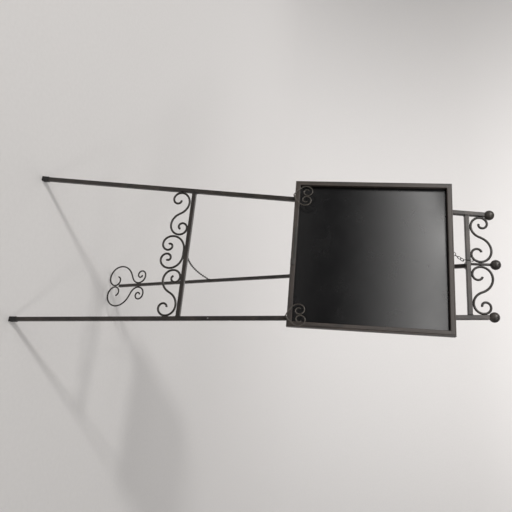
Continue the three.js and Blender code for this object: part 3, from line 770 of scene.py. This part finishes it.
def rear_leg():
    half = REAR_LEG["tube"] / 2
    bottom = REAR_LEG["tube_end"] - rear_length
    head = REAR_LEG["head"]
    levels = [(bottom, 0), (bottom + 40, 0), (head - 30, 0), (head - 0.6, 0), (head, 0.6)]
    made = make_object("rear_leg_bar", *square_bar(half, REAR_LEG["corner"], levels), REAR)
    finish_piece(sharpen(made), "rear_leg", "iron", IRON, "rear_leg_tube")
    cap_levels = [(bottom - 2.2, 1), (bottom - 1.9, 0.3), (bottom - 1.4, 0), (bottom - 0.3, 0)]
    cap = make_object("rear_leg_plug", *square_bar(half, REAR_LEG["corner"], cap_levels), REAR)
    finish_piece(cap, "rear_leg", "cap", PLASTIC, "rear_end_cap")
    parts = []
    for side in (-1, 1):
        above = FOOT_SCROLL["weld_above"] - rear_length
        upper_half = [point for point in foot_curve(side) if point.z > above]
        nearest = min(upper_half, key=lambda point: abs(point.x))
        touch_x = side * (abs(nearest.x) - FOOT_WIRE)
        parts.append(weld_blob((touch_x, 0, nearest.z), 2.2, (0.9, 1.2, 2.4)))
    made = make_object("rear_weld_beads", *joined(parts), REAR)
    finish_piece(made, "rear_leg", "iron", IRON)
    turned = Matrix.Rotation(math.pi, 4, "Z")
    eye = REAR @ Matrix.Translation((0, -half, -CHAIN["rear_down"])) @ turned
    chain_eye("rear_eye_loop", eye, "rear_leg", "rear_leg_chain_eye")


# ---- Chains ----


def link(length, width, wire, sides=10, steps=28):
    """One oval link, long along Z in the XZ plane."""
    half_width = width / 2 - wire
    run = length / 2 - wire - half_width
    path = []
    for i in range(steps):
        angle = 2 * math.pi * i / steps
        z = half_width * math.sin(angle)
        path.append(Vector((half_width * math.cos(angle), 0, z + math.copysign(run, z))))
    return bar(path, wire, sides, closed=True)


def spreader_point(share):
    """A point of the slack chain in millimetres, upright and before the shift along Y."""
    front_y = LEG["tube"] / 2 + WELD_GAP + EYE["loop"]
    front = Matrix.Rotation(-LEAN, 4, "X") @ Vector((0, front_y, CHAIN["front_z"]))
    rear_y = -(REAR_LEG["tube"] / 2 + WELD_GAP + EYE["loop"])
    rear = hinge + Matrix.Rotation(rear_slope, 4, "X") @ Vector((0, rear_y, -CHAIN["rear_down"]))
    point = front.lerp(rear, share)
    point.z -= 4 * CHAIN["sag"] * share * (1 - share)
    point.x = CHAIN["front_x"] * (1 - share)
    return point


def spreader(name, start, end, body, node):
    """Alternate flat and upright links along one length of the spreader chain."""
    length = (spreader_point(end) - spreader_point(start)).length
    count = round(length / CHAIN_LINK["pitch"])
    parts = []
    for i in range(count):
        share = start + (end - start) * (i + 0.5) / count
        middle = spreader_point(share)
        direction = (spreader_point(share + 0.002) - spreader_point(share - 0.002)).normalized()
        turn = direction.to_track_quat("Z", "X").to_matrix().to_4x4()
        roll = Matrix.Rotation(math.pi / 4 + (i % 2) * math.pi / 2, 4, "Z")
        long = length / count + 2.2 * CHAIN_LINK["wire"]
        part = link(long, CHAIN_LINK["width"], CHAIN_LINK["wire"], 8, 20)
        parts.append(moved(part, Matrix.Translation(middle) @ turn @ roll))
    place = MILLIMETRES @ Matrix.Translation((0, BASE_SHIFT_Y, 0))
    made = make_object(name, *joined(parts), place)
    return finish_piece(made, body, "wire", WIRE, node)


def hanging_hook():
    clear = LEG["tube"] / 2 + WELD_GAP + HANG["wire"] + HANG_HOOK["clearance"]
    top = UPPER_BAR_Z + LEG["tube"] / 2
    bottom = UPPER_BAR_Z - LEG["tube"] / 2
    bend = HANG_HOOK["bend"]
    rise = HANG_HOOK["rise"]
    route = [
        (clear, top - bend),
        (clear, top + 2),
        (clear * 0.6, top + rise),
        (-clear * 0.6, top + rise),
        (-clear, top + 2),
        (-clear, bottom),
        (-clear * 0.8, bottom - bend),
        (-clear * 0.25, bottom - HANG_HOOK["drop"]),
        (clear * 0.3, bottom - bend),
    ]
    path = smooth_path([Vector((HANG_HOOK["x"], y, z)) for y, z in route], 8)
    made = make_object("hanging_hook_wire", *bar(path, HANG["wire"], 12), FRONT)
    return finish_piece(made, "frame", "wire", WIRE, "hanging_hook")


def hanging_chain():
    """Three open links and a ring, on the bent hook."""
    down = HANG_RING - HANG_TOP
    wire = HANG["wire"]
    pitch = (down.length - HANG["ring"]) / HANG["links"]
    length = pitch + 4 * wire - HANG["fuse"]
    direction = down.normalized()
    turn = Vector((0, 0, -1)).rotation_difference(direction).to_matrix().to_4x4()
    parts = []
    for i in range(HANG["links"]):
        at = HANG_TOP + direction * (length / 2 - wire + pitch * i)
        roll = Matrix.Rotation(i * math.pi / 3, 4, "Z")
        parts.append(moved(link(length, HANG["width"], wire), Matrix.Translation(at) @ turn @ roll))
    ring_steps = 48
    path = []
    for i in range(ring_steps):
        angle = 2 * math.pi * i / ring_steps
        path.append(HANG_RING + Vector((math.cos(angle), 0, math.sin(angle))) * HANG["ring"])
    parts.append(bar(path, wire, 12, closed=True))
    made = make_object("hanging_chain_links", *joined(parts), FRONT)
    return finish_piece(made, "hanging_chain", "wire", WIRE, "hanging_chain")


# ---- Hooks ----


def hook(side, name):
    z = BOARD["bottom_z"] - WELD_GAP - PEG["radius"]
    board_front = LEG["tube"] / 2 + WELD_GAP + BOARD["depth"]
    heart_y = -(board_front + HEART["stand_off"] + HEART["wire"])
    body = name + "_hook"
    place = FRONT @ Matrix.Translation((side * leg_x(z), 0, z))
    tilt = Matrix.Rotation(-side * (leg_slope + HEART["tilt"]), 4, "Y")
    wire = bar(smooth_path(heart_curve(), 2), HEART["wire"], 16)
    heart = make_object(name + "_heart_wire", *wire, place @ Matrix.Translation((0, heart_y, 0)) @ tilt)
    # The hearts take the lighter wire paint, a painted highlight for the light they catch.
    finish_piece(heart, body, "wire", HEART_WIRE_PAINTED_HIGHLIGHT, name + "_hook_heart")
    front = heart_y + HEART["wire"] * 0.4
    radius = PEG["radius"]
    end = PEG["back_end"]
    profile = [(radius - 0.8, front), (radius, front + 0.6), (radius, -8)]
    profile += [(radius, end - 0.8), (radius - 0.8, end)]
    along = Matrix.Rotation(-math.pi / 2, 4, "X")
    peg = make_object(name + "_peg", *lathe(profile, 24), place @ along)
    finish_piece(peg, body, "wire", WIRE, name + "_hook_peg")
    low = weld_blob((0, heart_y + HEART["wire"], 0.4), 2.3, (1.2, 0.7, 1))
    kiss_z = kiss_height()
    kiss = moved(weld_blob((0, heart_y, kiss_z), 1.9, (0.9, 0.9, 1.9)), tilt_about(tilt, heart_y))
    made = make_object(name + "_heart_welds", *joined([low, kiss]), place)
    finish_piece(made, body, "iron", IRON)


def tilt_about(tilt, y):
    return Matrix.Translation((0, y, 0)) @ tilt @ Matrix.Translation((0, -y, 0))


def kiss_height():
    """How far up the two lobes of a heart come together."""
    close = [p for p in heart_curve() if 0 < p.x < HEART["wire"] + HEART["gap"] and p.z > HEART_TIP]
    return sum(p.z for p in close) / len(close)


# ---- Board ----


def rail_section():
    """A rail's outline as (inwards, backwards) from its outer front edge."""
    round_edge = RAIL["round"]
    lip = RAIL["lip"]
    face = RAIL["face"]
    set_back = RAIL["step_back"]
    section = []
    for start, depth in ((0, set_back), (RAIL["step"], 0)):
        for step in range(6):
            angle = step * math.pi / 10
            inwards = start + round_edge * (1 - math.cos(angle))
            section.append((inwards, depth + round_edge * (1 - math.sin(angle))))
        section.append((start + round_edge + 0.6, depth))
        if start == 0:
            section += [(RAIL["step"] - 0.4, depth), (RAIL["step"], depth + 0.2)]
    section += [(face - lip - 1.2, 0), (face - lip - 0.6, 0.05)]
    for step in range(6):
        angle = step * math.pi / 10
        section.append((face - lip + lip * math.sin(angle), lip * (1 - math.cos(angle))))
    section += [
        (face, lip + 0.6),
        (face, RAIL["panel_front"] - 0.4),
        (face - 0.4, RAIL["panel_front"]),
        (RAIL["rebate"], RAIL["panel_front"]),
        (RAIL["rebate"], BOARD["depth"] - 0.6),
        (RAIL["rebate"] - 0.6, BOARD["depth"]),
        (0.8, BOARD["depth"]),
        (0, BOARD["depth"] - 0.8),
        (0, set_back + round_edge + 0.6),
    ]
    return section


def board_place():
    front = -(LEG["tube"] / 2 + WELD_GAP + BOARD["depth"])
    return FRONT @ Matrix.Translation((BOARD["centre_x"], front, BOARD["bottom_z"]))


def rail(name, length, turn, corner, material, node):
    """A mitred rail that lies along X in its own frame, with its outer edge down."""
    half = length / 2
    rings = []
    for share in (-1, -0.5, 0, 0.5, 1):
        ring = []
        for inwards, back in rail_section():
            ring.append(Vector((share * (half - inwards - 0.08), back, inwards)))
        rings.append(ring)
    place = board_place() @ Matrix.Translation(corner) @ Matrix.Rotation(turn, 4, "Y")
    made = make_object(name, *loft(rings), place)
    return finish_piece(sharpen(made, 30), "board", "wood", material, node)


def board_rails():
    half = BOARD["width"] / 2
    middle = BOARD["height"] / 2
    width = BOARD["width"]
    height = BOARD["height"]
    rail("bottom_rail", width, 0, (0, 0, 0), WOOD_ACROSS, "board_bottom_rail")
    rail("top_rail", width, math.pi, (0, 0, height), WOOD_ACROSS, "board_top_rail")
    rail("left_rail", height, math.pi / 2, (-half, 0, middle), WOOD_UP, "board_left_rail")
    rail("right_rail", height, -math.pi / 2, (half, 0, middle), WOOD_UP, "board_right_rail")


def board_sheets():
    inset = RAIL["rebate"] + PANEL["clearance"]
    width = BOARD["width"] - 2 * inset
    height = BOARD["height"] - 2 * inset
    panel_y = RAIL["panel_front"] + WELD_GAP + PANEL["thick"] / 2
    middle = BOARD["height"] / 2
    panel = rounded_block((width, PANEL["thick"], height), (0, panel_y, middle), 0.5)
    made = make_object("writing_panel", *panel, board_place())
    finish_piece(sharpen(made), "board", "panel", PANEL_GLOSS, "board_panel")
    back_y = RAIL["panel_front"] + PANEL["thick"] + 2 * WELD_GAP + BACKING_THICK / 2
    backing = rounded_block((width, BACKING_THICK, height), (0, back_y, middle), 0.4)
    made = make_object("backing_sheet", *backing, board_place())
    finish_piece(sharpen(made), "board", "backing", HARDBOARD, "board_backing")


def turn_button(name, x, z, turn, node):
    """A flat plate with round ends and a domed screw."""
    half = BUTTON["width"] / 2 - 0.4
    run = BUTTON["length"] / 2 - half - 0.4
    thick = BUTTON["thick"]
    back = RAIL["panel_front"] + PANEL["thick"] + BACKING_THICK + 3 * WELD_GAP
    rings = []
    for y, grow in ((0, 0), (0.3, 0.35), (thick - 0.4, 0.35), (thick - 0.1, 0.1), (thick, -0.3)):
        ring = []
        for i in range(40):
            angle = 2 * math.pi * i / 40
            radius = half + grow
            lift = math.copysign(run, math.sin(angle))
            ring.append(Vector((radius * math.cos(angle), y, radius * math.sin(angle) + lift)))
        rings.append(ring)
    dome = [(3.1, thick - 0.1), (3.1, thick + 0.4), (2.7, thick + 0.9)]
    dome += [(1.6, thick + 1.3), (0.3, thick + 1.4)]
    screw = moved(lathe(dome, 28), Matrix.Rotation(-math.pi / 2, 4, "X"))
    place = board_place() @ Matrix.Translation((x, back, z)) @ Matrix.Rotation(turn, 4, "Y")
    made = make_object(name, *joined([loft(rings), screw]), place)
    return finish_piece(sharpen(made, 45), "board", "steel", STEEL, node)


def turn_buttons():
    half = BOARD["width"] / 2
    height = BOARD["height"]
    reach = RAIL["rebate"] + WELD_GAP + BUTTON["length"] / 2
    turn_button("button_bottom", 0, reach, 0, "turn_button_bottom")
    turn_button("button_top", 0, height - reach, 0, "turn_button_top")
    turn_button("button_left", reach - half, height / 2, math.pi / 2, "turn_button_left")
    turn_button("button_right", half - reach, height / 2, math.pi / 2, "turn_button_right")


def hanging_pin():
    """The pin in the back of the top rail, with a small collar."""
    down = HANG_RING - HANG_TOP
    down.y = 0
    at = HANG_RING + down.normalized() * (HANG["ring"] - HANG["wire"] - WELD_GAP - HANG["pin"])
    radius = HANG["pin"]
    length = HANG["pin_length"]
    profile = [(radius + 0.9, 0), (radius + 0.9, 0.4), (radius, 0.8)]
    profile += [(radius, length - 0.5), (radius - 0.5, length)]
    backwards = Matrix.Rotation(-math.pi / 2, 4, "X")
    place = FRONT @ Matrix.Translation((at.x, -LEG["tube"] / 2, at.z)) @ backwards
    made = make_object("hanging_pin", *lathe(profile, 24), place)
    return finish_piece(sharpen(made, 45), "board", "steel", STEEL, "board_hanging_pin")


def rail_fitting(name, piece, edge, slot, material, node):
    """A small flat piece on the front of the bottom rail."""
    size = (piece["width"], piece["depth"], piece["height"])
    centre = (piece["x"], -piece["depth"] / 2 - WELD_GAP, piece["z"] + piece["height"] / 2)
    made = make_object(name, *rounded_block(size, centre, edge), board_place())
    return finish_piece(sharpen(made), "board", slot, material, node)


# ---- CAD nodes that stay ----


def keep_node(node, material, bevel=0.35):
    """A CAD piece with its edges eased and a finished material."""
    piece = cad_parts[node]
    piece.data.materials.clear()
    piece.data.materials.append(material)
    easing = piece.modifiers.new("eased_edges", "BEVEL")
    easing.width = bevel * MM
    easing.segments = 2
    easing.limit_method = "ANGLE"
    easing.angle_limit = math.radians(40)


# ---- Scene ----


def photo_camera():
    yaw = CAMERA["yaw"]
    pitch = CAMERA["pitch"]
    roll = CAMERA["roll"]
    forward = Vector((-math.sin(yaw) * math.cos(pitch), math.cos(yaw) * math.cos(pitch), math.sin(pitch)))
    right = Vector((math.cos(yaw), math.sin(yaw), 0))
    up = right.cross(forward)
    right_rolled = right * math.cos(roll) + up * math.sin(roll)
    up_rolled = up * math.cos(roll) - right * math.sin(roll)
    camera = bpy.data.objects.new("camera", bpy.data.cameras.new("camera"))
    camera.data.sensor_width = LENS["sensor"]
    camera.data.lens = LENS["focal"]
    camera.data.clip_end = LENS["far"]
    turn = Matrix((up_rolled, -right_rolled, -forward)).transposed().to_4x4()
    camera.matrix_world = Matrix.Translation(CAMERA["place"]) @ turn
    bpy.context.scene.collection.objects.link(camera)
    bpy.context.scene.camera = camera


def area_light(name, place, aim, size, power, colour):
    light = bpy.data.objects.new(name, bpy.data.lights.new(name, "AREA"))
    light.data.shape = "RECTANGLE"
    light.data.size = size[0]
    light.data.size_y = size[1]
    light.data.energy = power
    light.data.color = colour
    light.location = place
    light.rotation_euler = (Vector(aim) - Vector(place)).to_track_quat("-Z", "Y").to_euler()
    bpy.context.scene.collection.objects.link(light)


def sweep_floor():
    """A pale floor that curves up into a plain backdrop."""
    rings = []
    radius = BACKDROP["curve"]
    back = BACKDROP["back"]
    outline = [(BACKDROP["front"], 0), (-2, 0), (0, 0), (2, 0)]
    for step in range(13):
        angle = step * math.pi / 24
        outline.append((back - radius + radius * math.sin(angle), radius * (1 - math.cos(angle))))
    outline += [(back, 4), (back, BACKDROP["top"])]
    columns = [BACKDROP["half_width"] * share for share in (-1, -0.5, 0, 0.5, 1)]
    for y, z in outline:
        rings.append([Vector((x, y, z)) for x in columns])
    points = [point for ring in rings for point in ring]
    faces = []
    for i in range(len(rings) - 1):
        for j in range(len(columns) - 1):
            start = i * len(columns) + j
            above = start + len(columns)
            faces.append((start, start + 1, above + 1, above))
    made = make_object("backdrop", points, faces, Matrix.Identity(4))
    made.data.materials.append(floor_paper("backdrop_paper"))


def soft_world():
    world = bpy.data.worlds.new("studio")
    world.use_nodes = True
    background = world.node_tree.nodes["Background"]
    background.inputs["Color"].default_value = (1.0, 0.985, 0.97, 1)
    background.inputs["Strength"].default_value = 0.17
    bpy.context.scene.world = world


def glow_card():
    """A wide card in front of the object that fades from dark at its foot to bright at its top."""
    heights = (GLOW_CARD["bottom"], GLOW_CARD["top"])
    edges = (GLOW_CARD["left"], GLOW_CARD["right"])
    points = [Vector((x, GLOW_CARD["y"], z)) for z in heights for x in edges]
    made = make_object("glow_card", points, [(0, 1, 3, 2)], Matrix.Identity(4))
    shader = Shader("glow_card_light")
    split = shader.nodes.new("ShaderNodeSeparateXYZ")
    shader.links.new(shader.coordinates(), split.inputs[0])
    height = shader.nodes.new("ShaderNodeMapRange")
    height.inputs["From Min"].default_value = GLOW_FADE["from"]
    height.inputs["From Max"].default_value = GLOW_FADE["to"]
    height.inputs["To Min"].default_value = 0.0
    height.inputs["To Max"].default_value = GLOW_FADE["strength"]
    fall = shader.nodes.new("ShaderNodeMath")
    fall.operation = "POWER"
    fall.inputs[1].default_value = GLOW_FADE["power"]
    shader.links.new(split.outputs["Z"], height.inputs["Value"])
    shader.links.new(height.outputs["Result"], fall.inputs[0])
    shader.links.new(fall.outputs[0], shader.main.inputs["Emission Strength"])
    shader.main.inputs["Emission Color"].default_value = (1.0, 0.985, 0.97, 1)
    shader.main.inputs["Base Color"].default_value = (0.02, 0.02, 0.02, 1)
    made.data.materials.append(shader.material)
    made.visible_camera = False


def studio():
    soft_world()
    sweep_floor()
    glow_card()
    area_light("key", (-1.9, -2.9, 4.3), (0.1, 0.2, 0.7), (0.4, 0.4), 82, (1.0, 0.985, 0.965))
    area_light("second_key", (2.6, -2.4, 4.2), (0, 0, 0.7), (0.6, 0.6), 20, (1.0, 0.99, 0.975))
    area_light("wall_wash", (-1.6, 2.4, 5.2), (-2.2, 5.4, 2.2), (6.0, 1.6), 186, (1.0, 0.99, 0.99))
    bpy.context.scene.view_settings.view_transform = "Standard"


def front_frame():
    for side, name in ((-1, "left"), (1, "right")):
        leg(side, name)
        foot_cap(side, name)
    finials()
    crossbar("lower_bar", LOWER_BAR_Z, "lower_crossbar")
    crossbar("upper_bar", UPPER_BAR_Z, "upper_crossbar")
    scrolls()
    frame_welds()
    eye = FRONT @ Matrix.Translation((CHAIN["front_x"], LEG["tube"] / 2, CHAIN["front_z"]))
    chain_eye("front_eye_loop", eye, "frame", "crossbar_chain_eye")
    hanging_hook()
    keep_node("hinge_bracket", IRON)
    keep_node("hinge_bolt", STEEL, 0.3)
    keep_node("hinge_nut", STEEL, 0.3)


def chains():
    gap = 0.008
    spreader("front_chain_links", gap, CHAIN["split"], "chain_front", "front_chain_length")
    spreader("rear_chain_links", CHAIN["split"], 1 - gap, "chain_rear", "rear_chain_length")
    hanging_chain()


def board():
    board_rails()
    board_sheets()
    turn_buttons()
    hanging_pin()
    rail_fitting("edge_block", EDGE_BLOCK, 0.8, "wood", WOOD_BLOCK, "board_edge_block")
    rail_fitting("front_strip", FRONT_STRIP, 0.3, "iron", STRIP, "board_front_strip")


photo_camera()
studio()
front_frame()
rear_leg()
chains()
hook(-1, "left")
hook(1, "right")
board()
